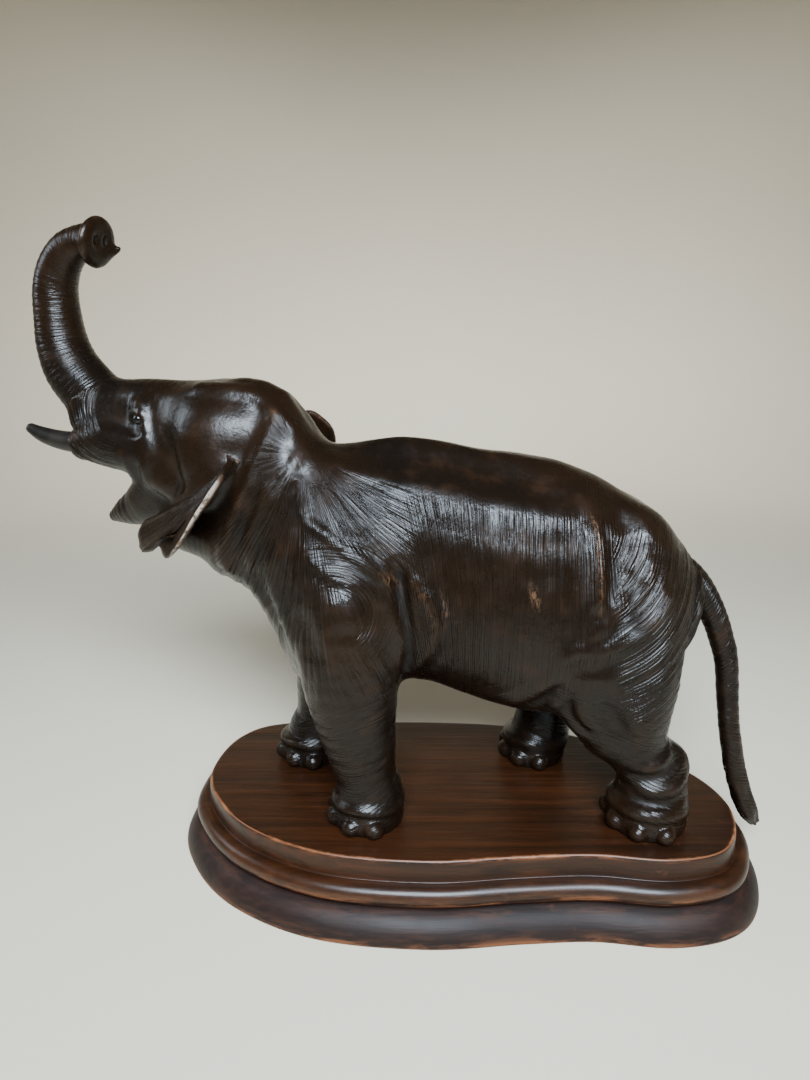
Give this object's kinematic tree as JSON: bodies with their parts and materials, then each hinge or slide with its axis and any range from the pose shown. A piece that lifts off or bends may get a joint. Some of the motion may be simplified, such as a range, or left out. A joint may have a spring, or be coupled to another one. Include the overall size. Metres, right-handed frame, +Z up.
{
  "type": "carved wooden elephant on a stand",
  "caption": "Striding carved wooden elephant with its trunk raised and mouth open, pegged to a dark moulded wooden stand.",
  "frame": {"origin": "centre of the stand's underside, on the table", "axes": "+Z up; the elephant faces -X, its left side is -Y"},
  "size_m": [0.3617, 0.1505, 0.3126],
  "materials": {
    "carved_wood": "semi-gloss black-brown lacquer over carved strokes, worn to reddish brown on the high spots",
    "tusk_wood": "satin dark wood",
    "eye_bead": "glossy black bead",
    "peg_wood": "bare dowel",
    "stand_top_wood": "polished dark mahogany with worn salmon-brown edges",
    "stand_base_wood": "satin purplish brown with worn orange patches"
  },
  "bodies": {
    "root": {"elephant_body": "carved_wood", "trunk": "carved_wood", "ear_left": "carved_wood", "ear_right": "carved_wood", "tail": "carved_wood", "tusk_left": "tusk_wood", "tusk_right": "tusk_wood", "eye_left": "eye_bead", "eye_right": "eye_bead", "peg_front_left": "peg_wood", "peg_front_right": "peg_wood", "peg_hind_left": "peg_wood", "peg_hind_right": "peg_wood", "stand_top": "stand_top_wood", "stand_base": "stand_base_wood"}
  },
  "joints": []
}
